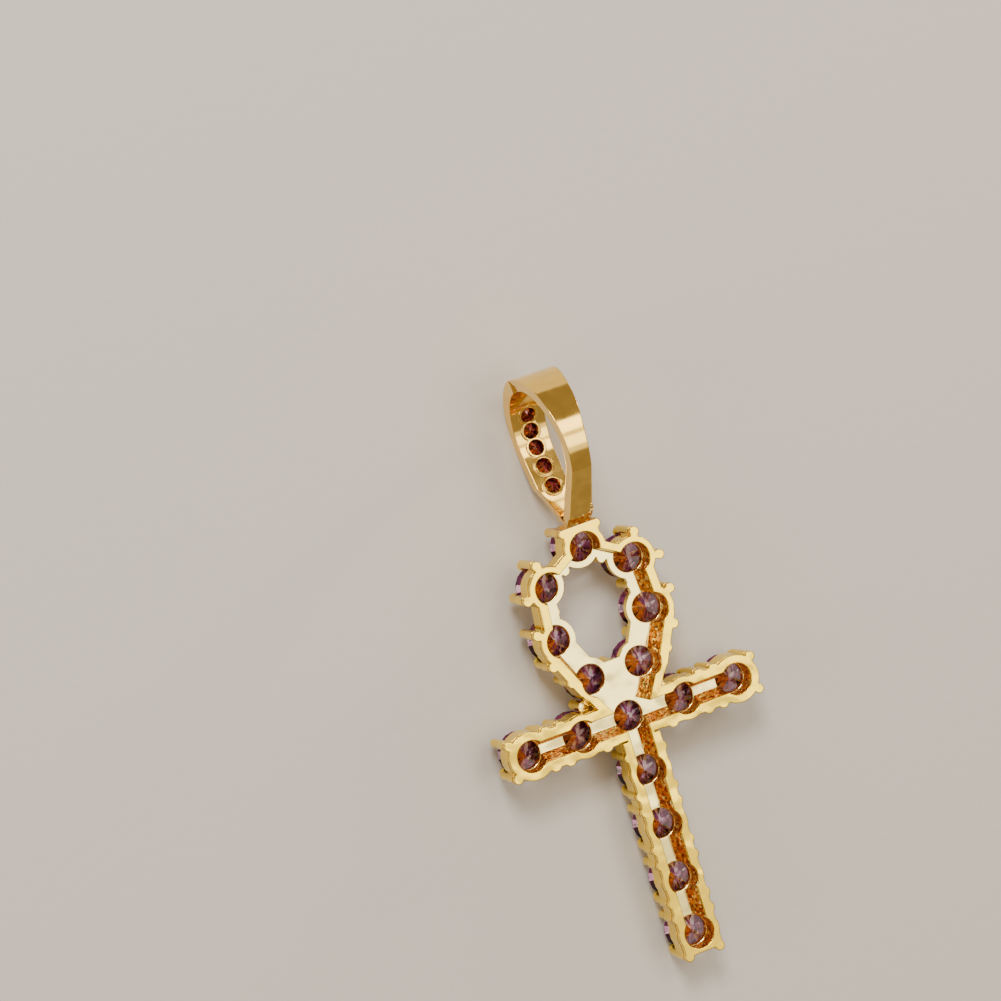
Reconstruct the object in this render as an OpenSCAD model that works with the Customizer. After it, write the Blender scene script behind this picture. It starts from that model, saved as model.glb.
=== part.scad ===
// Ankh pendant: a cast gold frame with a soldered bail, set with round brilliants.
// It is drawn back up, stem towards -Y, and then laid down on its front as it rests.

/* [Layout] */
// Distance between neighbouring stones along the stem and the arms
stone_pitch = 5.4; // [5.2:0.1:6]
// Height of the loop's top stone above the centre stone
loop_h = 16.8; // [16.4:0.1:18.5]
// Distance between the two widest stones of the loop
loop_w = 9.6; // [9.4:0.1:10.6]

/* [Stones] */
// Diameter of each large stone at its girdle
stone_d = 4.15; // [3.8:0.05:4.3]
// Diameter of each small stone in the bail
bail_stone_d = 1.9; // [1.6:0.05:2]
// Thickness of a large stone's girdle
girdle_t = 0.1; // [0.06:0.01:0.16]
// Thickness of a small stone's girdle
bail_girdle_t = 0.06; // [0.04:0.01:0.1]
// Width of the table as a share of the diameter
table_share = 0.56; // [0.5:0.01:0.62]
// Height of the crown as a share of the diameter
crown_share = 0.15; // [0.12:0.005:0.17]
// Depth of the pavilion as a share of the diameter
pavilion_share = 0.43; // [0.4:0.005:0.45]
// Gap between a stone and the metal round it
stone_gap = 0.04; // [0.03:0.01:0.08]

/* [Back] */
// Height of the outer wall above the floor
wall_h = 1.85; // [1.4:0.05:2.2]
// Width of the outer wall's top between the stones
wall_w = 0.85; // [0.7:0.05:1]
// Thickness of the floor that the stones sit over
floor_t = 0.6; // [0.5:0.05:0.9]
// Run of the sloping inner side of the wall
slope_run = 0.6; // [0.3:0.05:0.7]
// Width of the stem between two stones
stem_w = 3.9; // [3.7:0.05:4.1]
// Width of the arms between two stones
arm_w = 3.8; // [3.7:0.05:4.1]
// Length of the stem past its last stone
stem_end = 1.9; // [1.8:0.05:2.1]
// Diameter of the rounded end of each arm
arm_end_d = 4.6; // [4.3:0.05:4.9]
// Diameter of the round bore behind each stone
bore_d = 3.04; // [2.8:0.02:3.2]
// Diameter of the hole in the floor under each stone
hole_d = 2.88; // [2.4:0.02:2.96]
// Metal left outside the bore at the back of each stone
bore_rim = 0.56; // [0.45:0.01:0.7]
// Width of the block that carries the bail
block_w = 3.6; // [3.3:0.05:3.9]
// Height of the block above the top stone's centre
block_h = 2.3; // [2.2:0.05:2.6]
// Width of the bridge between the lowest two stones of the loop, above their centres
bridge_h = 1.05; // [0.8:0.05:1.3]
// Depth of the groove round the outside of the wall
groove_in = 0.16; // [0.1:0.02:0.24]
// Height of the groove
groove_w = 0.26; // [0.15:0.01:0.35]
// Distance of the groove from the back
groove_at = 0.42; // [0.35:0.01:0.6]
// Width of the slit where the stem's walls meet the arms
slit_w = 0.14; // [0.08:0.02:0.2]
// Length of that slit
slit_l = 0.95; // [0.6:0.05:1]

/* [Prongs] */
// Diameter of a prong
prong_d = 0.8; // [0.7:0.02:0.84]
// Diameter of the bead at a prong's tip
bead_d = 0.88; // [0.84:0.02:0.96]
// Distance that a bead leans over its stone
prong_lean = 0.22; // [0.14:0.02:0.26]
// Diameter of a prong's foot along the stem and the arms
foot_d = 1.16; // [0.98:0.02:1.3]
// Diameter of a prong's foot round the loop and at the ends
knob_d = 0.92; // [0.88:0.02:1]
// Angle of a prong from the line across the row, along the stem and the arms
prong_angle = 50; // [42:1:51]
// Angle of a prong from the line across the row, round the loop
loop_prong_angle = 42; // [40:1:46]

/* [Bail] */
// Diameter of the bail's loop, seen from the side
bail_d = 12.5; // [11.5:0.1:14]
// Thickness of the bail's wall
bail_t = 1.25; // [1.2:0.01:1.45]
// Height of the loop's centre above the block
bail_up = 8.45; // [8:0.05:9.5]
// Distance of the loop's centre in front of the back face
bail_forward = 0.35; // [0:0.05:0.6]
// Width of the bail at the top
bail_top_w = 4.2; // [3.8:0.05:4.8]
// Width of the strap at its narrowest
strap_w = 2; // [1.8:0.05:2.4]
// Width of the front shield above its point
shield_w = 3.1; // [2.9:0.05:3.6]
// Height of the crease in the strap above the block
crease_up = 5.6; // [5:0.05:6]
// Height of the strap's lower edge above the block
strap_end_up = 0.8; // [0.6:0.05:1.4]
// Thickness of the strap over its foot
strap_step = 0.2; // [0.1:0.02:0.3]
// Length of the straight part of the shield
shield_straight = 3.46; // [3:0.02:4]
// Angle of the straight part from the upright
shield_angle = 22; // [18:1:24]
// Radius of the curl at the shield's point
curl_r = 3.5; // [3:0.1:4.5]
// Turn of the curl
curl_turn = 56; // [48:1:60]
// Diameter of the hole behind each small stone
bail_hole_d = 1.5; // [1.2:0.02:1.56]
// Height of the ring round that hole on the inside
ring_h = 0.12; // [0.06:0.01:0.16]
// Width of that ring
ring_w = 0.22; // [0.16:0.01:0.26]
// Distance between the small stones
bail_stone_pitch = 2.08; // [2.06:0.01:2.4]

/* [Hidden] */
$fn = 64;

stem_names = ["stone_stem_1", "stone_stem_2", "stone_stem_3", "stone_stem_4"];
right_arm_names = ["stone_arm_right_1", "stone_arm_right_2"];
left_arm_names = ["stone_arm_left_1", "stone_arm_left_2"];
right_loop_names = ["stone_loop_right_upper", "stone_loop_right_side", "stone_loop_right_lower"];
left_loop_names = ["stone_loop_left_upper", "stone_loop_left_side", "stone_loop_left_lower"];
bail_stone_names = ["bail_stone_1", "bail_stone_2", "bail_stone_3", "bail_stone_4", "bail_stone_5"];

// The loop's right half from the top to the centre stone. Each row is a stone and the neck after it.
// Columns: share of half the loop's width, share of its height, neck's outer and inner side as shares of
// half the stem's width, share of the wall's width, share of the slope's run
LOOP_ROWS = [
    [0.00, 1.000, 0.50, 0.33, 0.88, 0.25],
    [0.92, 0.848, 0.75, 0.49, 1.00, 1.00],
    [1.00, 0.544, 1.11, 0.72, 1.10, 1.00],
    [0.54, 0.270, 1.00, 0.72, 1.00, 1.00],
    [0.00, 0.000, 0.00, 0.00, 1.00, 1.00]];
OUT_W = 2;
IN_W = 3;
WALL_SHARE = 4;
RUN_SHARE = 5;

// The bail's outline from the back and from the front.
// Columns: share of its height above the block, share of the way from the narrow width to the top's
STRAP_ROWS = [[1.05, 1], [0.997, 1], [0.983, 0.91], [0.946, 0.73], [0.898, 0.59], [0.816, 0.45],
              [0.653, 0.14], [0.558, 0.03], [0.4, 0], [0.088, 0.14], [-0.06, 0.2]];
SHIELD_ROWS = [[1.05, 1], [0.997, 1], [0.983, 0.91], [0.93, 0.73], [0.7, 0.36], [0.456, 0.09], [0.252, 0]];

over = 0.5;
slit_out = 0.4;
slit_floor = 0.3;
corner_reach = 0.67;
// Turns a full circle's seam away from what cuts it
seam = 135;
bore_r = bore_d / 2;
hole_r = hole_d / 2;
cup_r = bore_r + bore_rim;
arm_count = len(right_arm_names);
stem_count = len(stem_names);
plate_t = wall_h + floor_t;
stone_r = stone_d / 2;
prong_r = prong_d / 2;
bead_r = bead_d / 2;
prong_reach = stone_r + stone_gap + prong_r;
prong_across = prong_reach * cos(prong_angle);
prong_along = prong_reach * sin(prong_angle);
foot_r = foot_d / 2;
knob_r = knob_d / 2;
ear_half = 0.8 * knob_r;
hidden_from = wall_h + 0.1;
// A prong between two stones is thicker and stands beside the line between them
shared_prong = 1.25;
shared_reach = stone_r + stone_gap + shared_prong * prong_r;
shared_shift = 0.6;
bead_flat = 0.012;
// Depths run from the back face towards the front
culet_depth = wall_h + 0.15;
girdle_depth = culet_depth + pavilion_share * stone_d + girdle_t / 2;
dome_depth = girdle_depth + girdle_t / 2;
// A bead just clears the crown that it leans over
bead_reach = prong_reach - prong_lean;
crown_angle = atan2(crown_share, (1 - table_share) / 2);
bead_rise = (bead_r + stone_gap - (bead_reach - stone_r) * sin(crown_angle)) / cos(crown_angle);
bead_depth = dome_depth + bead_rise;
bead_along = bead_reach * sin(prong_angle);
block_top = loop_h + block_h;

// The bail, in a plane of height and depth
bail_r = bail_d / 2;
bail_inner_r = bail_r - bail_t;
bail_y = block_top + bail_up;
bail_z = -bail_forward;

function loop_stone(i) = [LOOP_ROWS[i][0] * loop_w / 2, LOOP_ROWS[i][1] * loop_h];
function mirrored(p) = [-p[0], p[1]];
function unit(v) = v / norm(v);
function left_of(v) = [-v[1], v[0]];
function turned(v, a) = [v[0] * cos(a) - v[1] * sin(a), v[0] * sin(a) + v[1] * cos(a)];

// Outward direction at a stone of the loop's right half, from its two neighbours
function outward(i) = i == 0 ? [0, 1] : unit(left_of(loop_stone(i + 1) - loop_stone(i - 1)));
function loop_prong(k) = loop_stone(k[0]) + prong_reach * turned(outward(k[0]), k[1]);
function neck(i, side) = LOOP_ROWS[i][side] * stem_w / 2;

// The place of a prong to the right of the line from stone p to stone q, clear of both
function between(p, q) = (p + q) / 2 - left_of(unit(q - p))
    * max(shared_shift, sqrt(max(0, pow(shared_reach, 2) - pow(norm(q - p) / 2, 2))));

// Outer prongs of the loop's right half: the stone's number and the angle from its outward direction
outer_prongs = [for (k = [[0, -1], [1, 1], [1, -1], [2, 1], [2, -1], [3, 1]])
    [k[0], k[1] * loop_prong_angle]];

stem_stones = [for (i = [1:stem_count]) [0, -i * stone_pitch]];
right_arm_stones = [for (i = [1:arm_count]) [i * stone_pitch, 0]];
left_arm_stones = [for (p = right_arm_stones) mirrored(p)];
right_loop_stones = [for (i = [1:3]) loop_stone(i)];
left_loop_stones = [for (p = right_loop_stones) mirrored(p)];
stone_places = concat([[0, 0], loop_stone(0)], stem_stones, right_arm_stones, left_arm_stones,
                      right_loop_stones, left_loop_stones);
stem_length = stem_count * stone_pitch;
arm_length = arm_count * stone_pitch;

// How the pendant rests on its front: on the bail's loop and the beads at the stem's end, worn a little flat
rest_flat = 0.03;
rest_span = bail_y + stem_length + bead_along;
rest_drop = bead_depth - bail_forward;
rest_tilt = asin((bail_r - bead_r) / norm([rest_span, rest_drop])) - atan2(rest_drop, rest_span);
rest_lift = bail_r - rest_flat - bail_y * sin(rest_tilt) - bail_z * cos(rest_tilt);
rest_top = bail_y * cos(rest_tilt) - bail_z * sin(rest_tilt) + bail_r;
rest_foot = -(stem_length + prong_along + knob_r) * cos(rest_tilt);
rest_middle = (rest_top + rest_foot) / 2;

module rest() {
    translate([0, -rest_middle, rest_lift]) rotate([rest_tilt, 0, 0]) children();
}

module both_sides() {
    children();
    mirror([1, 0, 0]) children();
}

// A slab between two depths behind the front
module slab(from, to) {
    translate([0, 0, -to]) linear_extrude(to - from) children();
}

// A strip from p to q, with its own half width on each side
module strip(p, q, left, right) {
    side = left_of(unit(q - p));
    polygon([p + side * left, p - side * right, q - side * right, q + side * left]);
}

// The ankh's outline, drawn in by the amount given
module outline(inset) {
    for (p = concat([[0, 0], loop_stone(0)], stem_stones, right_arm_stones, left_arm_stones,
                    right_loop_stones, left_loop_stones))
        if (p != stem_stones[stem_count - 1]) translate(p) circle(cup_r - inset);
    translate(stem_stones[stem_count - 1]) intersection() {
        circle(cup_r - inset);
        square([2 * cup_r + over, 2 * (stem_end - inset)], center = true);
    }
    translate([-stem_w / 2 + inset, -stem_length - stem_end + inset])
        square([stem_w - 2 * inset, stem_length + stem_end - inset]);
    translate([-arm_length, -arm_w / 2 + inset]) square([2 * arm_length, arm_w - 2 * inset]);
    both_sides() translate([arm_length, 0]) circle(arm_end_d / 2 - inset);
    translate([-block_w / 2 + inset, loop_h]) square([block_w - 2 * inset, block_h - inset]);
    both_sides() for (i = [0:3])
        strip(loop_stone(i), loop_stone(i + 1), neck(i, OUT_W) - inset, neck(i, IN_W) - inset);
    both_sides() for (k = outer_prongs) {
        strip(loop_stone(k[0]), loop_prong(k), ear_half - inset, ear_half - inset);
        translate(loop_prong(k)) circle(knob_r - inset);
    }
    both_sides() for (i = [0:2])
        translate(between(loop_stone(i), loop_stone(i + 1))) circle(knob_r - inset);
    for (p = stem_stones, across = [-1, 1], along = [-1, 1])
        translate(p + [across * prong_across, along * prong_along])
            circle((p == stem_stones[stem_count - 1] && along < 0 ? knob_r : foot_r) - inset);
    both_sides() for (p = right_arm_stones, across = [-1, 1], along = [-1, 1])
        if (p[0] > stone_pitch || along > 0 || across < 0)
            translate(p + [along * prong_along, across * prong_across])
                circle((p[0] > stone_pitch && along > 0 ? knob_r : foot_r) - inset);
    polygon([[0, 0], loop_stone(3), loop_stone(3) + [0, bridge_h - inset],
             mirrored(loop_stone(3)) + [0, bridge_h - inset], mirrored(loop_stone(3))]);
}

// A trough along p to q: its left side slopes from the given half width, its right side too or stands open
module trough(p, q, left, right, left_run, right_run) {
    turn = atan2(q[1] - p[1], q[0] - p[0]);
    translate([p[0], p[1], 0]) rotate([0, 0, turn]) rotate([90, 0, 90]) linear_extrude(norm(q - p))
        polygon([[-right, over], [-right, 0], [right_run - right, -wall_h],
                 [left - left_run, -wall_h], [left, 0], [left, over]]);
}

module channels() {
    stem_half = stem_w / 2 - wall_w;
    arm_half = arm_w / 2 - wall_w;
    trough([0, 0], [0, -stem_length], stem_half, stem_half, slope_run, slope_run);
    trough([-arm_length, 0], [arm_length, 0], arm_half, arm_half, slope_run, slope_run);
    both_sides() for (i = [0:3]) {
        row = LOOP_ROWS[i];
        trough(loop_stone(i), loop_stone(i + 1), neck(i, OUT_W) - wall_w * row[WALL_SHARE], over,
               slope_run * row[RUN_SHARE], 0);
    }
    // Between the crossing and the loop the floor runs straight up to the wall
    along = unit(loop_stone(3));
    aside = (neck(3, OUT_W) - wall_w) * -left_of(along);
    corner = aside + along * (arm_half - aside[1]) / along[1];
    both_sides() translate([0, 0, -wall_h]) linear_extrude(wall_h + over)
        polygon([[0, 0], [stone_pitch, 0], [corner_reach * stone_pitch, arm_half], corner,
                 loop_stone(3) + aside, loop_stone(3)]);
    // Inside the loop's ring of stones no wall stands
    translate([0, 0, -wall_h]) linear_extrude(wall_h + over)
        polygon(concat([for (i = [4:-1:0]) loop_stone(i)], [for (i = [1:3]) mirrored(loop_stone(i))]));
}

module bores() {
    for (p = stone_places) translate([p[0], p[1], 0]) {
        translate([0, 0, -wall_h]) cylinder(r = bore_r, h = wall_h + over);
        translate([0, 0, -plate_t - over]) cylinder(r = hole_r, h = plate_t + over);
    }
}

// The narrow slits between the stem's walls and the arms
module slits() {
    both_sides() translate([stem_w / 2 + slit_out - slit_l, -arm_w / 2 - slit_w / 2, -wall_h + slit_floor])
        cube([slit_l, slit_w, wall_h + over]);
}

// Half the section of a bead whose very tip is worn flat, and its far side too, inside the wire
module bead_section() {
    intersection() {
        circle(d = bead_d);
        translate([0, bead_flat - bead_r]) square([bead_d, bead_d - 2 * bead_flat]);
    }
}

// A round wire up to the girdle, ending in a dome, and a bead that leans over the stone at centre
module prong(p, centre) {
    lean = prong_lean * unit(centre - p);
    translate([p[0], p[1], -dome_depth]) rotate_extrude() {
        square([prong_r, dome_depth - hidden_from]);
        intersection() {
            circle(r = prong_r);
            translate([0, bead_flat - prong_r]) square(prong_d);
        }
    }
    translate([p[0] + lean[0], p[1] + lean[1], -bead_depth]) rotate_extrude() bead_section();
}

// A thicker prong that serves two stones
module thick_prong(p) {
    translate([p[0], p[1], -bead_depth]) scale(shared_prong) rotate_extrude() {
        square([prong_r, (bead_depth - hidden_from) / shared_prong]);
        bead_section();
    }
}

module prongs() {
    for (p = stem_stones, across = [-1, 1], along = [-1, 1])
        prong(p + [across * prong_across, along * prong_along], p);
    both_sides() {
        for (p = right_arm_stones, across = [-1, 1], along = [-1, 1])
            if (p[0] > stone_pitch || along > 0 || across < 0)
                prong(p + [along * prong_along, across * prong_across], p);
        prong([prong_across, prong_along], [0, 0]);
        prong([prong_across, -prong_along], [0, 0]);
        for (k = outer_prongs) prong(loop_prong(k), loop_stone(k[0]));
        for (i = [0:2]) thick_prong(between(loop_stone(i), loop_stone(i + 1)));
        thick_prong((right_arm_stones[0] + loop_stone(3)) / 2);
    }
    thick_prong(between(loop_stone(3), mirrored(loop_stone(3))));
}

// Directions and points of the bail in its plane: [height, depth axis]
function bail_out(a) = [sin(a), -cos(a)];
function bail_down(a) = [-cos(a), -sin(a)];
bail_centre = [bail_y, bail_z];
shield_start = bail_centre + bail_r * bail_out(-shield_angle);
shield_end = shield_start + shield_straight * bail_down(-shield_angle);
curl_centre = shield_end + curl_r * bail_out(-shield_angle);
shield_inside = -bail_t * bail_out(-shield_angle);
curl_from = 90 - shield_angle;
curl_tip = curl_centre + curl_r * [cos(curl_from + curl_turn), sin(curl_from + curl_turn)];
// The shield's point ends clear of the loop's top stone
point_round = 0.05;
point_low = max(curl_tip[0] + point_round, loop_h + stone_r + 2 * stone_gap);

// The strap runs straight from the crease to its lower edge, and its foot from there into the block
strap_back = 0.63;
split_in = 0.3;
foot_sink = 0.8;
crease = [block_top + crease_up, bail_z + sqrt(pow(bail_r, 2) - pow(crease_up - bail_up, 2))];
strap_low = [block_top, strap_back];
strap_dir = unit(strap_low - crease);
strap_in = [-strap_dir[1], strap_dir[0]];
strap_end = crease + strap_dir * ((block_top + strap_end_up - crease[0]) / strap_dir[0]);
strap_inner_foot = crease + bail_t * strap_in
    + strap_dir * ((block_top - foot_sink - crease[0] - bail_t * strap_in[0]) / strap_dir[0]);

// Two points a little way along dir from the edge p-q and inside it, where a piece runs into its neighbour
function lap(p, q, dir) = [p + (q - p) / 4 + dir * lap_l, q + (p - q) / 4 + dir * lap_l];
lap_l = 0.4;

module bail_side() {
    far = 2 * bail_d;
    strap_start_in = bail_centre + (bail_inner_r / bail_r) * (crease - bail_centre);
    difference() {
        translate(bail_centre) rotate(seam) circle(bail_r, $fn = 128);
        translate(bail_centre) rotate(seam) circle(bail_inner_r, $fn = 128);
        polygon([bail_centre, bail_centre + far * (crease - bail_centre),
                 bail_centre + [-far, 0], bail_centre + far * bail_out(-shield_angle)]);
    }
    polygon(concat([shield_start], lap(shield_start, shield_start + shield_inside, -bail_down(-shield_angle)),
                   [shield_start + shield_inside, shield_end + shield_inside],
                   lap(shield_end + shield_inside, shield_end, bail_down(-shield_angle)), [shield_end]));
    intersection() {
        difference() {
            translate(curl_centre) circle(curl_r + bail_t, $fn = 128);
            translate(curl_centre) circle(curl_r, $fn = 128);
        }
        polygon([curl_centre, curl_centre + far * [cos(curl_from), sin(curl_from)],
                 curl_centre + far * [cos(curl_from + curl_turn), sin(curl_from + curl_turn)]]);
    }
    polygon(concat([crease, strap_end, strap_end + strap_step * strap_in, [block_top, 0],
                    [block_top - foot_sink, 0], strap_inner_foot, strap_start_in],
                   lap(strap_start_in, crease, -strap_dir)));
}

// The bail's outline from the back or front, down to the lowest point given
module bail_outline(rows, narrow_w, low) {
    right = [for (row = rows) [(narrow_w + (bail_top_w - narrow_w) * row[1]) / 2,
                               block_top + row[0] * (bail_y + bail_r - block_top)]];
    polygon(concat([for (i = [len(right) - 1:-1:0]) right[i]], [for (p = right) mirrored(p)], low));
}

// The strap's part of the bail, and the shield's with its point
module bail_shell() {
    split_z = strap_inner_foot[1] - split_in;
    intersection() {
        translate([-bail_top_w, 0, 0]) rotate([90, 0, 90]) linear_extrude(2 * bail_top_w) bail_side();
        translate([0, 0, split_z]) linear_extrude(2 * bail_d) bail_outline(STRAP_ROWS, strap_w, []);
    }
    intersection() {
        translate([-bail_top_w, 0, 0]) rotate([90, 0, 90]) linear_extrude(2 * bail_top_w) bail_side();
        translate([0, 0, split_z - 2 * bail_d]) linear_extrude(2 * bail_d + lap_l)
            bail_outline(SHIELD_ROWS, shield_w, [[0, point_low]]);
    }
}

// Places a child on the shield's outer face, a length s above the end of its straight part
module on_shield(s) {
    past = s - shield_straight;
    angle = past > 0 ? -shield_angle + past / bail_r * 180 / PI : -shield_angle;
    foot = past > 0 ? bail_centre + bail_r * bail_out(angle) : shield_end - s * bail_down(-shield_angle);
    translate([0, foot[0], foot[1]]) rotate([180 + angle, 0, 0]) children();
}

bail_stone_r = bail_stone_d / 2;
bail_seat_r = bail_stone_r + stone_gap;
bail_hole_r = bail_hole_d / 2;
bail_table_in = 0.08;
bail_girdle_in = bail_table_in + crown_share * bail_stone_d + bail_girdle_t / 2;
// The seat is as deep as the pavilion stays wider than the hole behind it
bail_seat_in = bail_girdle_in + bail_girdle_t / 2
    + pavilion_share * bail_stone_d * (1 - (bail_hole_r - 2 * stone_gap) / bail_stone_r);
first_bail_stone = 0.25;
function bail_stone_at(i) = first_bail_stone + i * bail_stone_pitch;

module bail() {
    difference() {
        union() {
            bail_shell();
            for (i = [0:len(bail_stone_names) - 1]) on_shield(bail_stone_at(i))
                translate([0, 0, -bail_t - ring_h]) cylinder(r = bail_hole_r + ring_w, h = 2 * ring_h);
        }
        for (i = [0:len(bail_stone_names) - 1]) on_shield(bail_stone_at(i)) {
            translate([0, 0, -bail_seat_in]) cylinder(r = bail_seat_r, h = bail_seat_in + over);
            translate([0, 0, -bail_t - over]) cylinder(r = bail_hole_r, h = bail_t);
        }
    }
}

// The cast frame with its prongs, and the bail that is soldered to its block
module gold_frame() {
    color([0.83, 0.62, 0.28]) difference() {
        rest() {
            difference() {
                union() {
                    slab(0, groove_at) outline(0);
                    slab(groove_at, groove_at + groove_w) outline(groove_in);
                    slab(groove_at + groove_w, plate_t) outline(0);
                    prongs();
                }
                channels();
                bores();
                slits();
            }
            bail();
        }
        translate([-rest_span, -rest_span, -over]) cube([2 * rest_span, 2 * rest_span, over]);
    }
}

// How far out the star facets end, and where the long lower facets end as a share of the radius
star_out = 1.04;
lower_share = 0.28;

// A round brilliant with its girdle at the origin and its crown towards +Z
module brilliant(d, girdle) {
    r = d / 2;
    table_r = table_share * r;
    star_r = (table_r + r) / 2 * star_out;
    lower_r = lower_share * r;
    crown_z = girdle / 2 + crown_share * d;
    star_z = crown_z - (star_r * cos(22.5) - table_r) / (r - table_r) * crown_share * d;
    lower_z = -girdle / 2 - pavilion_share * d * (1 - lower_r * cos(22.5) / r);
    culet_z = -girdle / 2 - pavilion_share * d;
    points = concat(
        [for (k = [0:7]) [table_r * cos(45 * k), table_r * sin(45 * k), crown_z]],
        [for (k = [0:7]) [star_r * cos(45 * k + 22.5), star_r * sin(45 * k + 22.5), star_z]],
        [for (j = [0:15]) [r * cos(22.5 * j), r * sin(22.5 * j), girdle / 2]],
        [for (j = [0:15]) [r * cos(22.5 * j), r * sin(22.5 * j), -girdle / 2]],
        [for (k = [0:7]) [lower_r * cos(45 * k + 22.5), lower_r * sin(45 * k + 22.5), lower_z]],
        [[0, 0, culet_z]]);
    STAR = 8;
    UPPER = 16;
    LOWER = 32;
    LOWER_MAIN = 48;
    CULET = 56;
    faces = concat(
        [[for (k = [7:-1:0]) k]],
        [for (k = [0:7]) [k, (k + 1) % 8, STAR + k]],
        [for (k = [0:7]) [k, STAR + k, UPPER + 2 * k, STAR + (k + 7) % 8]],
        [for (k = [0:7]) [STAR + k, UPPER + 2 * k + 1, UPPER + 2 * k]],
        [for (k = [0:7]) [STAR + k, UPPER + (2 * k + 2) % 16, UPPER + 2 * k + 1]],
        [for (j = [0:15]) [UPPER + j, UPPER + (j + 1) % 16, LOWER + (j + 1) % 16, LOWER + j]],
        [for (k = [0:7]) [LOWER + 2 * k, LOWER + 2 * k + 1, LOWER_MAIN + k]],
        [for (k = [0:7]) [LOWER + 2 * k + 1, LOWER + (2 * k + 2) % 16, LOWER_MAIN + k]],
        [for (k = [0:7]) [LOWER + 2 * k, LOWER_MAIN + k, CULET, LOWER_MAIN + (k + 7) % 8]]);
    polyhedron(points, faces);
}

// A large stone in its prongs, crown to the front
module stone(p) {
    color([0.55, 0.25, 0.38]) rest() translate([p[0], p[1], -girdle_depth]) rotate([180, 0, 0])
        brilliant(stone_d, girdle_t);
}

// A small stone in its seat in the bail's shield
module bail_stone(i) {
    color([0.42, 0.2, 0.26]) rest() on_shield(bail_stone_at(i)) translate([0, 0, -bail_girdle_in])
        brilliant(bail_stone_d, bail_girdle_t);
}

stone_names = concat(["stone_centre", "stone_loop_top"], stem_names, right_arm_names, left_arm_names,
                     right_loop_names, left_loop_names);

gold_frame();
for (i = [0:len(stone_names) - 1]) stone(stone_places[i]);
for (i = [0:len(bail_stone_names) - 1]) bail_stone(i);
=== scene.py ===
"""Looks of the ankh pendant: polished cast gold with rough recesses, and dusky pink round brilliants."""

import math

import bpy
from mathutils import Matrix, Vector


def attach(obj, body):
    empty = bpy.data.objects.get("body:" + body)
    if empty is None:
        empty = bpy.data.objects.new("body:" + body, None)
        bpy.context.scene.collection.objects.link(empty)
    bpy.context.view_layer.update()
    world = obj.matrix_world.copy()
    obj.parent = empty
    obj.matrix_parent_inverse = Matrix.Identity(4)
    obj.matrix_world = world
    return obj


bl_info = {
    "name": "Ankh Pendant",
    "version": (1, 0, 0),
    "blender": (4, 5, 0),
    "location": "3D View > Sidebar > Ankh",
    "description": "Gives an ankh pendant its metal, its stones and a small studio",
    "category": "Object",
}

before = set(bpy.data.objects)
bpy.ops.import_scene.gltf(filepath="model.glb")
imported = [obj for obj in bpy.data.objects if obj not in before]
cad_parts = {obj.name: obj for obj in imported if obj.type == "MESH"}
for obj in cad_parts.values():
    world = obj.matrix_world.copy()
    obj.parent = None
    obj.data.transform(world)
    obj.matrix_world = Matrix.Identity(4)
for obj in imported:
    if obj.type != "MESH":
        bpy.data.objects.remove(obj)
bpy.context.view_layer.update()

MM = 0.001
# The pendant lies on its front: the tilt of its back, and where its centre stone's axis meets the back
REST_TILT = math.radians(2.079)
CENTRE = (0.0, -4.912 * MM, 5.570 * MM)
LARGE_STONES = sorted(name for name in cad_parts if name.startswith("stone_"))
SMALL_STONES = sorted(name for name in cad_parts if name.startswith("bail_stone_"))

# From here to the studio, lengths are in millimetres on the pendant's own axes, whose origin is CENTRE:
# X across, Y up towards the bail, and Z out of the back, so that the channel lies at a negative Z.

# Radius of the bore behind a large stone
BORE_R = 1.52
# A place on the wall of the corner where the loop meets the arms, across and up
CORNER = (2.3, 2.0)

# Where one finish fades into the next: first where it starts, then where it is full
BELOW_BLOCK_Y = (19.0, 18.8)
BELOW_BAIL_Y = (20.0, 19.0)
FRAME_Y = (23.0, 18.0)
INSIDE_Z = (-0.02, -0.16)
SLOPE_FOOT_Z = (-1.9, -1.85)
FLOOR_Z = (-1.6, -1.8)
BORE_WALL = (BORE_R + 0.16, BORE_R + 0.08)
CORNER_WALL = (1.1, 0.9)
SOLDER_BOTTOM_Y = (19.02, 19.12)
SOLDER_TOP_Y = (19.95, 19.80)
SOLDER_Z = (-0.9, -0.7)
STONE_RIM = (BORE_R + 0.05, BORE_R + 0.25)

# The same for how far a face looks out of the back: 1 for the back itself, 0 for an upright wall
WALL_FACING_ABOVE = (-0.30, -0.20)
WALL_FACING_BELOW = (0.50, 0.42)
SLOPE_FACING = (0.16, 0.24)
FLOOR_FACING = (0.90, 0.97)
CROWN_FACING = (0.35, 0.20)

# The metal: length of the waves that the buff leaves and of the changes of tone, and height of the bumps
WAVE_LENGTH = 2.38
TONE_LENGTH = 1.25
WAVE_HEIGHT = 0.10
GRAIN_HEIGHT = 0.20
# How bright the darkest tone is, and how much the lightest adds
TONE_LOW = 0.82
TONE_SPAN = 0.3
# How far the crystals are tipped in the recesses and in the beads of solder, and how much paler solder is
CRYSTAL_TIP = 0.7
SOLDER_TIP = 0.35
SOLDER_LIFT = 0.28
# Roughness of the smoothest metal, what the tone adds and what the cast grain adds
BUFFED_ROUGHNESS = 0.06
TONE_ROUGHNESS = 0.12
CAST_ROUGHNESS = 0.22
# Shades of the crystals in the cast grain, picked at random for each crystal: a deeper orange, partly the
# grain's own and partly painted shade of the recesses, from the dark painted shade of the hollows to the
# painted glints of the flashes
CAST_SHADE_AND_GLINTS = ((0.0, "8a4004"), (0.3, "d87c08"), (0.6, "ffa414"), (0.8, "ffc840"), (0.92, "ffee9c"))

# The stones: step between the directions that tell facets apart, and width of a far facet seen inside, a
# painted reflection
FACET_STEP = 0.12
SHARD = 0.5
# The direction whose facets get the most painted light, across and up
PAINTED_LIGHT_WAY = (0.42, 0.18, 0.0)
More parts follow.
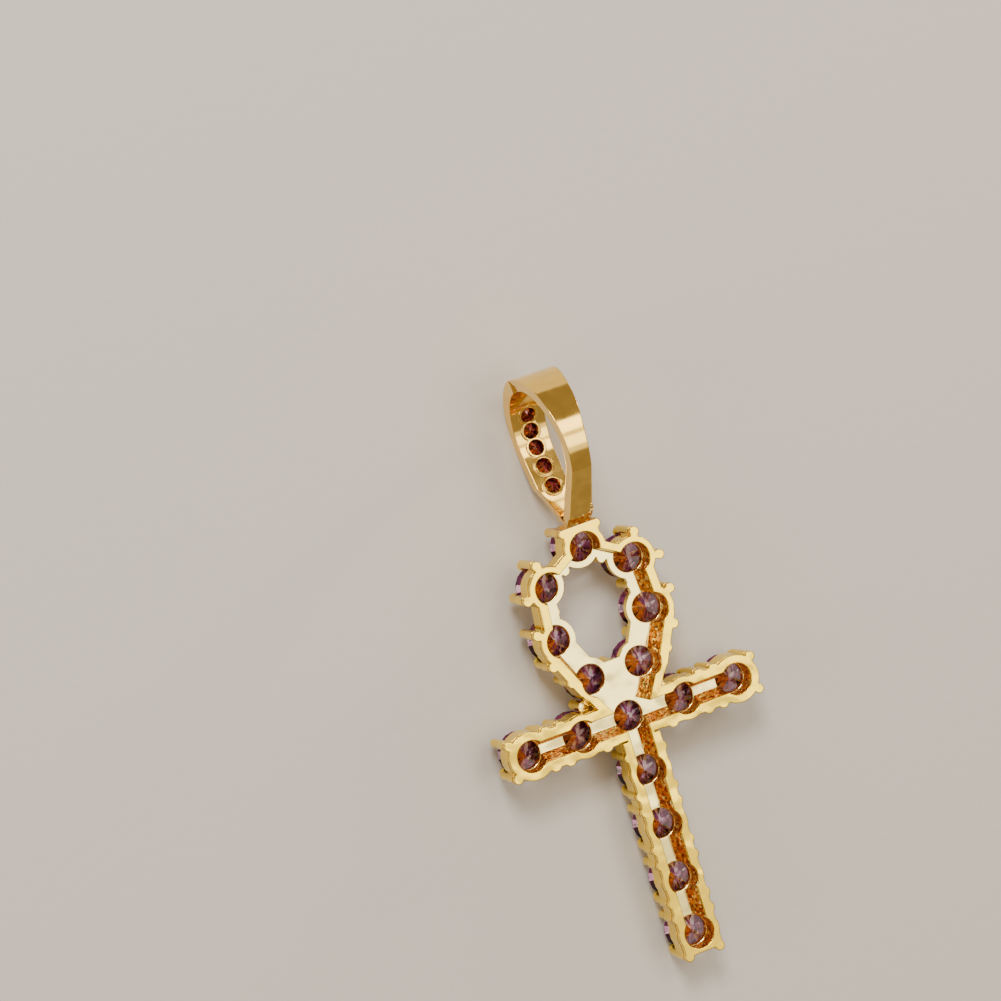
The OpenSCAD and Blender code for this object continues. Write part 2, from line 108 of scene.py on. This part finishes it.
# Painted shade of the darkest facet, and what a facet's own chance, the painted shards and the painted light
# from that direction add
SHADE_LOW = -0.03
CHANCE_SHARE = 0.76
SHARD_SHARE = 0.26
PAINTED_LIGHT_SHARE = 0.7
# Where the painted orange reflection of the setting on the left side gives way to the violet right one, and
# how far the shards blur that border
VIOLET_SIDE = (-0.10, 0.26)
SIDE_BLUR = 0.4
# The painted orange reflection of the setting, from its painted shade to its painted glints
SETTING_REFLECTION_SHADES = ((0.0, "2c0c04"), (0.16, "a04812"), (0.30, "e08428"), (0.42, "6a2a10"), (0.55, "f6b870"),
               (0.75, "ffe4c0"))
# The violet of the stone, with painted shade and white painted glints in its facets
VIOLET_AND_GLINT_SHADES = ((0.0, "1c0618"), (0.2, "4c2048"), (0.38, "b0609c"), (0.50, "401438"), (0.62, "c88cc0"),
               (0.76, "fff2ff"), (0.90, "703468"))
# A darker violet painted over the crown and the stone outside its bore, as painted shade that dims their
# glints
OUTER_VIOLET = "cca0c0"
# A high index as zirconia has, a little of a metal's mirror for its fire, and little to see through
STONE_IOR = 2.15
STONE_METALLIC = 0.25
STONE_SPECULAR = 0.3
STONE_TRANSMISSION = 0.10
STONE_ROUGHNESS = 0.03

# Beads of solder: across, up, out of the back, and the diameter. The first five lie along the block, and the
# others along the strap's lower edge and up and down its right side.
SOLDER_BEADS = (
    (-0.98, 19.17, 0.00, 0.30),
    (-0.55, 19.18, 0.02, 0.26),
    (-0.10, 19.16, 0.00, 0.32),
    (0.38, 19.19, 0.03, 0.28),
    (0.85, 19.20, 0.05, 0.36),
    (-1.06, 19.94, 1.10, 0.30),
    (-0.80, 19.97, 1.16, 0.38),
    (-0.52, 19.93, 1.10, 0.30),
    (-0.26, 19.98, 1.17, 0.36),
    (0.00, 19.94, 1.11, 0.28),
    (0.25, 19.98, 1.18, 0.40),
    (0.54, 19.95, 1.13, 0.32),
    (0.80, 20.00, 1.20, 0.42),
    (1.04, 20.05, 1.28, 0.48),
    (1.12, 20.32, 1.56, 0.42),
    (1.12, 20.60, 1.80, 0.34),
    (1.10, 20.84, 2.00, 0.26),
    (1.10, 19.75, 0.80, 0.34),
    (1.10, 19.48, 0.46, 0.36),
)
# Width of the net that runs the beads together, and how often it is smoothed
SOLDER_NET = 0.035
SOLDER_SMOOTHING = 4

# The studio, in the frame's metres. Each light: name, place, width, share of the key power, and colour.
# The softbox stands where the pendant's flat back mirrors it to the camera.
LIGHTS = (
    ("softbox", (0.16, -0.06, 0.47), 0.30, 0.31, "fff8ea"),
    ("softbox_core", (0.155, -0.055, 0.455), 0.14, 0.13, "fffaf0"),
    ("upper_panel", (0.13, 0.17, 0.44), 0.16, 0.35, "fff8ec"),
    ("overhead", (-0.10, 0.34, 0.42), 0.16, 1.6, "fffaf2"),
    ("left_strip", (-0.42, 0.05, 0.20), 0.22, 0.4, "fff1dc"),
    ("low_right", (0.40, 0.20, 0.10), 0.08, 0.5, "ffe9c8"),
)
LIT_PLACE = (0, 0, 0.004)
ROOM_COLOUR = "b09e88"
ROOM_BRIGHTNESS = 0.82
# Width of the board's tooth, drawn coarser than a real one so that it shows, and its height
TOOTH = MM / 0.9
TOOTH_HEIGHT = 0.2 * MM
# The camera stands as the photo's did: place, turn in degrees, and lens and sensor in millimetres
CAMERA_PLACE = (-122.659 * MM, 62.095 * MM, 353.042 * MM)
CAMERA_TURN = (-0.725, -19.653, -18.345)
CAMERA_LENS = 143.86
CAMERA_SENSOR = 36
NEAREST_SEEN = 0.01

# Settings of the nodes that are used often
PLUS = {"operation": "ADD"}
TIMES = {"operation": "MULTIPLY"}
TIMES_PLUS = {"operation": "MULTIPLY_ADD"}
LARGER = {"operation": "MAXIMUM"}
BLEND = {"data_type": "RGBA"}
TINT = {"data_type": "RGBA", "blend_type": "MULTIPLY"}


def linear(hex_colour, alpha=1.0):
    """An sRGB hex colour such as ffd27f as linear RGBA."""
    out = []
    for start in (0, 2, 4):
        share = int(hex_colour[start:start + 2], 16) / 255
        out.append(share / 12.92 if share <= 0.04045 else ((share + 0.055) / 1.055) ** 2.4)
    return (*out, alpha)


def add(tree, kind, settings=None, *values, stops=(), **named):
    """Adds a shader node. Settings are its own values, and stops are a colour ramp's pairs of position and
    hex colour. Values go to its sockets in their order, and named ones to the sockets of those names. Each
    is a plain value, an output, or a node, which stands for its first output in use."""
    node = tree.nodes.new("ShaderNode" + kind)
    for key, value in (settings or {}).items():
        setattr(node, key, value)
    for _ in stops[2:]:
        node.color_ramp.elements.new(0.5)
    for index, (position, colour) in enumerate(stops):
        node.color_ramp.elements[index].position = position
        node.color_ramp.elements[index].color = linear(colour)
    sockets = [socket for socket in node.inputs if socket.enabled]
    by_name = {socket.name.replace(" ", "_"): socket for socket in sockets}
    pairs = list(zip(sockets, values)) + [(by_name[name], value) for name, value in named.items()]
    for socket, value in pairs:
        if isinstance(value, bpy.types.Node):
            value = next(output for output in value.outputs if output.enabled)
        if isinstance(value, bpy.types.NodeSocket):
            tree.links.new(value, socket)
        else:
            socket.default_value = value
    return node


def new_material(name, colour):
    """A node material with no nodes yet, and the colour it has in a plain viewport."""
    material = bpy.data.materials.new(name)
    material.use_nodes = True
    material.node_tree.nodes.clear()
    material.diffuse_color = linear(colour)
    return material, material.node_tree


class GoldSettings(bpy.types.PropertyGroup):
    """Colours and surface of the metal."""
    colour: bpy.props.FloatVectorProperty(
        name="Gold", description="Colour of the polished metal", subtype="COLOR", size=3, min=0, max=1,
        default=linear("ffda44")[:3])
    bail_colour: bpy.props.FloatVectorProperty(
        name="Bail", description="Colour of the paler plating on the bail", subtype="COLOR", size=3, min=0,
        max=1, default=linear("ffd468")[:3])
    # The channel floor's paler colour is a painted highlight on the same gold
    floor_colour: bpy.props.FloatVectorProperty(
        name="Channel floor", description="Colour of the brighter metal on the channel's floor",
        subtype="COLOR", size=3, min=0, max=1, default=linear("ffec98")[:3])
    edge: bpy.props.FloatProperty(
        name="Edge rounding", description="Radius that the polish gives each edge", unit="LENGTH",
        default=0.13 * MM, min=0)
    grain: bpy.props.FloatProperty(
        name="Cast grain", description="Size of the grain in the recesses", unit="LENGTH", default=0.27 * MM,
        min=0.05 * MM)


class StoneSettings(bpy.types.PropertyGroup):
    """Colours of the stones."""
    tint: bpy.props.FloatVectorProperty(
        name="Stone", description="Tint over the shades of the large stones", subtype="COLOR", size=3,
        min=0, max=1, default=linear("ffffff")[:3])
    small_tint: bpy.props.FloatVectorProperty(
        name="Small stone", description="Tint over the shades of the bail's stones", subtype="COLOR", size=3,
        min=0, max=1, default=linear("d88878")[:3])


class StudioSettings(bpy.types.PropertyGroup):
    """The floor and the lights."""
    floor_colour: bpy.props.FloatVectorProperty(
        name="Floor", description="Colour of the floor", subtype="COLOR", size=3, min=0, max=1,
        default=linear("e4e1dc")[:3])
    floor_size: bpy.props.FloatProperty(
        name="Floor size", description="Width of the floor", unit="LENGTH", default=1.2, min=0.2)
    key_power: bpy.props.FloatProperty(
        name="Key light", description="Power of the main light", unit="POWER", default=1.1, min=0)


def pendant_space(tree):
    """Places in millimetres on the pendant's own axes."""
    place = add(tree, "TexCoord").outputs["Object"]
    return add(tree, "Mapping", {"vector_type": "TEXTURE"}, place, CENTRE, (REST_TILT, 0, 0), (MM, MM, MM))


def from_pendant(x, y, z):
    """A place on the pendant's own axes and in millimetres, in the frame's metres."""
    return Vector(CENTRE) + Matrix.Rotation(REST_TILT, 3, "X") @ Vector((x, y, z)) * MM


def facing_out(tree):
    """How far a face looks out of the pendant's back: 1 for the back itself, 0 for an upright wall."""
    normal = add(tree, "NewGeometry").outputs["True Normal"]
    back = (0.0, -math.sin(REST_TILT), math.cos(REST_TILT))
    return add(tree, "VectorMath", {"operation": "DOT_PRODUCT"}, normal, back)


def bore_places():
    """Where the axes of the large stones' bores lie, across (to either side) and up the pendant."""
    places = set()
    for name in LARGE_STONES:
        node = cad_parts[name]
        centre = sum((node.matrix_world @ Vector(corner) for corner in node.bound_box), Vector()) / 8
        own = Matrix.Rotation(-REST_TILT, 3, "X") @ (centre - Vector(CENTRE)) / MM
        places.add((round(abs(own.x), 2), round(own.y, 2)))
    return sorted(places)


def distance_to(tree, axes, places):
    """How far off the nearest of the places is, across and up, on both sides of the pendant."""
    across = add(tree, "Math", {"operation": "ABSOLUTE"}, axes.outputs["X"])
    flat = add(tree, "CombineXYZ", None, across, axes.outputs["Y"])
    distances = [add(tree, "VectorMath", {"operation": "DISTANCE"}, flat, (x, y, 0.0)) for x, y in places]
    nearest = distances[0]
    for distance in distances[1:]:
        nearest = add(tree, "Math", {"operation": "MINIMUM"}, nearest, distance)
    return nearest


def cast_places(tree, axes, facing):
    """1 where the channel, a bore or the corner keeps the grain of the mould and gets its deeper orange with
    painted shade and glints, and 0 where it is buffed.
    """
    above = add(tree, "MapRange", None, facing, *WALL_FACING_ABOVE)
    below = add(tree, "MapRange", None, facing, *WALL_FACING_BELOW)
    wall = add(tree, "Math", TIMES, above, below)
    # The channel's sides lean 18 degrees. The bores and the corner are upright and known by their place.
    leaning = add(tree, "MapRange", None, facing, *SLOPE_FACING)
    above_foot = add(tree, "MapRange", None, axes.outputs["Z"], *SLOPE_FOOT_Z)
    slope = add(tree, "Math", TIMES, leaning, above_foot)
    bore = add(tree, "MapRange", None, distance_to(tree, axes, bore_places()), *BORE_WALL)
    corner = add(tree, "MapRange", None, distance_to(tree, axes, [CORNER]), *CORNER_WALL)
    upright = add(tree, "Math", LARGER, bore, corner)
    rough_and_shaded = add(tree, "Math", LARGER, slope, upright)
    inside = add(tree, "MapRange", None, axes.outputs["Z"], *INSIDE_Z)
    return add(tree, "Math", TIMES, add(tree, "Math", TIMES, wall, rough_and_shaded), inside)


def solder_places(tree, axes):
    """1 on the strap's foot, from the block to the strap's lower edge."""
    over_bottom = add(tree, "MapRange", None, axes.outputs["Y"], *SOLDER_BOTTOM_Y)
    under_top = add(tree, "MapRange", None, axes.outputs["Y"], *SOLDER_TOP_Y)
    outer = add(tree, "MapRange", None, axes.outputs["Z"], *SOLDER_Z)
    return add(tree, "Math", TIMES, add(tree, "Math", TIMES, over_bottom, under_top), outer)


def floor_places(tree, axes, facing):
    """1 on the flat floor of the channel, which gets a paler colour as a painted highlight."""
    deep = add(tree, "MapRange", None, axes.outputs["Z"], *FLOOR_Z)
    flat = add(tree, "MapRange", None, facing, *FLOOR_FACING)
    return add(tree, "Math", TIMES, deep, flat)


def gold_material(name, settings, all_cast=False):
    """Yellow gold plate over investment-cast brass. The wall's top, the floor and the bail are buffed to a
    mirror that is never quite flat, and the floor gets a paler colour as a painted highlight. The sides of
    the channel and of the bores can't be reached by the buff and keep the sparkling grain of the mould, in a
    deeper orange that is partly painted shade, with painted glints on some crystals. So does the solder
    where the bail meets the block."""
    material, tree = new_material(name, "ffda44")
    place = pendant_space(tree)
    axes = add(tree, "SeparateXYZ", None, place)
    facing = facing_out(tree)
    crystals = add(tree, "TexVoronoi", None, Vector=place, Scale=MM / settings.grain).outputs["Color"]
    tone = add(tree, "TexNoise", None, Vector=place, Scale=1 / TONE_LENGTH, Detail=3.0)

    # Which finish lies where
    below_block = add(tree, "MapRange", None, axes.outputs["Y"], *BELOW_BLOCK_Y)
    cast = add(tree, "Math", TIMES, cast_places(tree, axes, facing), below_block)
    soldered = add(tree, "Math", LARGER, solder_places(tree, axes), float(all_cast))
    rough_and_shaded = add(tree, "Math", LARGER, cast, soldered)
    # Where the paler painted highlight of the channel's floor goes
    floor = add(tree, "Math", TIMES, floor_places(tree, axes, facing), below_block)

    # Colour of the polished metal, with a paler painted highlight on the channel's floor, then of the
    # crystals in the rough one with their painted shade and glints, then the changes of tone
    walls = add(tree, "Mix", BLEND, below_block, (*settings.bail_colour, 1), (*settings.colour, 1))
    polished = add(tree, "Mix", BLEND, floor, walls, (*settings.floor_colour, 1))
    crystal = add(tree, "SeparateXYZ", None, crystals).outputs["X"]
    shade = add(tree, "Math", TIMES_PLUS, soldered, SOLDER_LIFT, crystal)
    # The crystals' colours: partly the grain's own orange, partly painted shade in the recesses and painted
    # glints
    grain_shade_and_glints = add(tree, "ValToRGB", None, shade, stops=CAST_SHADE_AND_GLINTS)
    colour = add(tree, "Mix", BLEND, rough_and_shaded, polished, grain_shade_and_glints)
    brightness = add(tree, "Math", TIMES_PLUS, tone, TONE_SPAN, TONE_LOW)
    toned = add(tree, "HueSaturation", None, Value=brightness, Color=colour)

    # Each edge is rounded, and the grain and the waves lie over it. The bail was drawn from flat strip, and
    # waves less than the cast frame.
    rounded = add(tree, "Bevel", {"samples": 8}, settings.edge)
    grain = add(tree, "TexNoise", None, Vector=place, Scale=MM / settings.grain, Detail=2.0, Roughness=0.6)
    grain_height = add(tree, "Math", TIMES, grain, rough_and_shaded)
    grained = add(tree, "Bump", None, Strength=1.0, Distance=GRAIN_HEIGHT * MM, Height=grain_height,
                  Normal=rounded)
    waves = add(tree, "TexNoise", None, Vector=place, Scale=1 / WAVE_LENGTH, Detail=1.0)
    on_frame = add(tree, "MapRange", None, axes.outputs["Y"], *FRAME_Y)
    wave_height = add(tree, "Math", TIMES, waves, on_frame)
    waved = add(tree, "Bump", None, Strength=1.0, Distance=WAVE_HEIGHT * MM, Height=wave_height,
                Normal=grained)
    # Each crystal of the grain is tipped its own way, so that some of them flash
    own_way = add(tree, "VectorMath", {"operation": "SUBTRACT"}, crystals, (0.5, 0.5, 0.5))
    tip = add(tree, "Math", TIMES, rough_and_shaded, SOLDER_TIP if all_cast else CRYSTAL_TIP)
    tipped = add(tree, "VectorMath", {"operation": "SCALE"}, own_way, tip)
    turned = add(tree, "VectorMath", PLUS, waved, tipped)
    normal = add(tree, "VectorMath", {"operation": "NORMALIZE"}, turned)

    buffed = add(tree, "Math", TIMES_PLUS, tone, TONE_ROUGHNESS, BUFFED_ROUGHNESS)
    roughness = add(tree, "Math", TIMES_PLUS, rough_and_shaded, CAST_ROUGHNESS, buffed)
    metal = add(tree, "BsdfPrincipled", None, Base_Color=toned, Metallic=1.0, Roughness=roughness,
                Normal=normal)
    add(tree, "OutputMaterial", None, metal)
    return material


def stone_material(name, tint, hex_colour):
    """Cubic zirconia: a clear synthetic stone with a high index, cut flat and polished on every facet. The
    light that its facets throw about inside is painted: each one gets its own painted shade, from dark plum
    to a white painted glint, lighter where it faces one way, and broken up by painted reflections of the
    facets behind it.
    Seen from behind, the left half gets a painted orange reflection of the setting."""
    material, tree = new_material(name, hex_colour)
    place = pendant_space(tree)
    axes = add(tree, "SeparateXYZ", None, place)
    normal = add(tree, "NewGeometry").outputs["True Normal"]

    # Painted shade and light of each facet
    facet = add(tree, "VectorMath", {"operation": "SNAP"}, normal, (FACET_STEP, FACET_STEP, FACET_STEP))
    chance = add(tree, "TexWhiteNoise", {"noise_dimensions": "3D"}, facet)
    shards = add(tree, "TexVoronoi", {"distance": "MANHATTAN"}, Vector=place, Scale=1 / SHARD)
    shard = add(tree, "SeparateXYZ", None, shards.outputs["Color"])
    painted_light = add(tree, "VectorMath", {"operation": "DOT_PRODUCT"}, normal, PAINTED_LIGHT_WAY)
    shade = SHADE_LOW
    for part, share in ((chance, CHANCE_SHARE), (shard.outputs["X"], SHARD_SHARE), (painted_light, PAINTED_LIGHT_SHARE)):
        shade = add(tree, "Math", TIMES_PLUS, part, share, shade)
    setting_reflection = add(tree, "ValToRGB", None, shade, stops=SETTING_REFLECTION_SHADES)
    violet_and_glints = add(tree, "ValToRGB", None, shade, stops=VIOLET_AND_GLINT_SHADES)

    # Outside its bore and on its crown a stone shows only its violet shades, with no painted orange
    # reflection of the setting in it, and a darker violet painted over them as painted shade
    past_bore = add(tree, "MapRange", None, distance_to(tree, axes, bore_places()), *STONE_RIM)
    below_bail = add(tree, "MapRange", None, axes.outputs["Y"], *BELOW_BAIL_Y)
    rim = add(tree, "Math", TIMES, past_bore, below_bail)
    crown = add(tree, "MapRange", None, facing_out(tree), *CROWN_FACING)
    clear = add(tree, "Math", LARGER, rim, crown)
    sideways = add(tree, "SeparateXYZ", None, normal).outputs["X"]
    side = add(tree, "Math", TIMES_PLUS, shard.outputs["Y"], SIDE_BLUR, sideways)
    right = add(tree, "MapRange", None, side, *VIOLET_SIDE)
    violet = add(tree, "Math", LARGER, right, clear)

    # On the left the painted orange reflection of the setting, on the right the violet with its painted
    # glints
    colour = add(tree, "Mix", BLEND, violet, setting_reflection, violet_and_glints)
    tinted = add(tree, "Mix", TINT, 1.0, colour, (*tint, 1))
    # The darker violet painted over the crown and outside the bore, as painted shade
    outer = add(tree, "Mix", TINT, clear, tinted, linear(OUTER_VIOLET))
    stone = add(tree, "BsdfPrincipled", None, Base_Color=outer, Metallic=STONE_METALLIC,
                Roughness=STONE_ROUGHNESS, IOR=STONE_IOR, Specular_IOR_Level=STONE_SPECULAR,
                Transmission_Weight=STONE_TRANSMISSION)
    add(tree, "OutputMaterial", None, stone)
    return material


def board_material(colour):
    """Matte board: an even, fine-toothed pale paper surface."""
    material, tree = new_material("matte_board", "e4e1dc")
    place = add(tree, "TexCoord").outputs["Object"]
    tooth = add(tree, "TexNoise", None, Vector=place, Scale=1 / TOOTH, Detail=2.0)
    bump = add(tree, "Bump", None, Strength=0.2, Distance=TOOTH_HEIGHT, Height=tooth)
    board = add(tree, "BsdfPrincipled", None, Base_Color=(*colour, 1), Roughness=0.85, Normal=bump)
    add(tree, "OutputMaterial", None, board)
    return material


def dress(node_name, material):
    """Gives a CAD node one material."""
    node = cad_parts[node_name]
    node.data.materials.clear()
    node.data.materials.append(material)


class ANKH_OT_gold(bpy.types.Operator):
    """Gives the frame and its bail their gold"""
    bl_idname = "ankh.gold"
    bl_label = "Gold frame"

    def execute(self, context):
        dress("gold_frame", gold_material("polished_gold_plate", context.scene.ankh_gold))
        return {"FINISHED"}


class ANKH_OT_solder(bpy.types.Operator):
    """Lays the solder where the bail's strap meets the block"""
    bl_idname = "ankh.solder"
    bl_label = "Solder"

    def execute(self, context):
        bpy.ops.object.select_all(action="DESELECT")
        bpy.ops.mesh.primitive_ico_sphere_add(subdivisions=3, radius=0.5 * MM, location=(0, 0, 0))
        first = context.object
        beads = [first]
        for _ in SOLDER_BEADS[1:]:
            bead = first.copy()
            bead.data = first.data.copy()
            context.collection.objects.link(bead)
            beads.append(bead)
        for bead, (x, y, z, diameter) in zip(beads, SOLDER_BEADS):
            bead.location = from_pendant(x, y, z)
            bead.scale = (diameter, diameter, diameter)
            bead.select_set(True)
        context.view_layer.objects.active = first
        bpy.ops.object.join()
        bpy.ops.object.transform_apply(location=True, rotation=True, scale=True)
        # The beads have run together
        flow = first.modifiers.new("flow", "REMESH")
        flow.mode = "VOXEL"
        flow.voxel_size = SOLDER_NET * MM
        bpy.ops.object.modifier_apply(modifier=flow.name)
        settle = first.modifiers.new("settle", "SMOOTH")
        settle.iterations = SOLDER_SMOOTHING
        bpy.ops.object.modifier_apply(modifier=settle.name)
        bpy.ops.object.shade_smooth()
        first.name = "solder_beads"
        first.data.name = "solder_beads"
        first.data.materials.append(gold_material("cast_gold_solder", context.scene.ankh_gold, True))
        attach(first, "root")
        return {"FINISHED"}


class ANKH_OT_stones(bpy.types.Operator):
    """Gives the large and the small stones their colours"""
    bl_idname = "ankh.stones"
    bl_label = "Stones"

    def execute(self, context):
        settings = context.scene.ankh_stones
        large = stone_material("pink_cubic_zirconia", settings.tint, "c98aa0")
        small = stone_material("dark_pink_cubic_zirconia", settings.small_tint, "a8606e")
        for name in LARGE_STONES:
            dress(name, large)
        for name in SMALL_STONES:
            dress(name, small)
        return {"FINISHED"}


def area_light(name, place, width, power, colour):
    """A soft square light that faces the pendant."""
    data = bpy.data.lights.new(name, "AREA")
    data.size = width
    data.energy = power
    data.color = linear(colour)[:3]
    light = bpy.data.objects.new(name, data)
    bpy.context.scene.collection.objects.link(light)
    light.location = place
    light.rotation_euler = (Vector(LIT_PLACE) - Vector(place)).to_track_quat("-Z", "Y").to_euler()


def light_room(scene):
    """The even light that the rest of the room gives."""
    room = bpy.data.worlds.new("studio")
    room.use_nodes = True
    background = room.node_tree.nodes["Background"]
    background.inputs["Color"].default_value = linear(ROOM_COLOUR)
    background.inputs["Strength"].default_value = ROOM_BRIGHTNESS
    scene.world = room


def place_camera(scene):
    """The camera at the photo's angle."""
    data = bpy.data.cameras.new("camera")
    data.sensor_width = CAMERA_SENSOR
    data.lens = CAMERA_LENS
    data.clip_start = NEAREST_SEEN
    camera = bpy.data.objects.new("camera", data)
    scene.collection.objects.link(camera)
    camera.location = CAMERA_PLACE
    camera.rotation_euler = [math.radians(angle) for angle in CAMERA_TURN]
    scene.camera = camera


class ANKH_OT_studio(bpy.types.Operator):
    """Makes the floor, the lights and the camera"""
    bl_idname = "ankh.studio"
    bl_label = "Studio"

    def execute(self, context):
        settings = context.scene.ankh_studio
        bpy.ops.object.select_all(action="DESELECT")
        bpy.ops.mesh.primitive_plane_add(size=settings.floor_size, location=(0, 0, 0))
        floor = context.object
        floor.name = "floor"
        floor.data.materials.append(board_material(settings.floor_colour))
        for name, place, width, share, colour in LIGHTS:
            area_light(name, place, width, settings.key_power * share, colour)
        light_room(context.scene)
        place_camera(context.scene)
        return {"FINISHED"}


class ANKH_PT_panel(bpy.types.Panel):
    """Lists the pendant's settings and steps"""
    bl_idname = "ANKH_PT_panel"
    bl_label = "Ankh pendant"
    bl_space_type = "VIEW_3D"
    bl_region_type = "UI"
    bl_category = "Ankh"

    def draw(self, context):
        scene = context.scene
        for group, settings, operators in (("Gold", scene.ankh_gold, ("ankh.gold", "ankh.solder")),
                                           ("Stones", scene.ankh_stones, ("ankh.stones",)),
                                           ("Studio", scene.ankh_studio, ("ankh.studio",))):
            box = self.layout.box()
            box.label(text=group)
            for key in settings.bl_rna.properties.keys():
                if key not in ("rna_type", "name"):
                    box.prop(settings, key)
            for operator in operators:
                box.operator(operator)


CLASSES = (GoldSettings, StoneSettings, StudioSettings, ANKH_OT_gold, ANKH_OT_solder, ANKH_OT_stones,
           ANKH_OT_studio, ANKH_PT_panel)


def register():
    for cls in CLASSES:
        bpy.utils.register_class(cls)
    bpy.types.Scene.ankh_gold = bpy.props.PointerProperty(type=GoldSettings)
    bpy.types.Scene.ankh_stones = bpy.props.PointerProperty(type=StoneSettings)
    bpy.types.Scene.ankh_studio = bpy.props.PointerProperty(type=StudioSettings)


def unregister():
    for name in ("ankh_gold", "ankh_stones", "ankh_studio"):
        delattr(bpy.types.Scene, name)
    for cls in reversed(CLASSES):
        bpy.utils.unregister_class(cls)


def main():
    register()
    bpy.ops.ankh.gold()
    bpy.ops.ankh.solder()
    bpy.ops.ankh.stones()
    bpy.ops.ankh.studio()


if __name__ == "__main__":
    main()
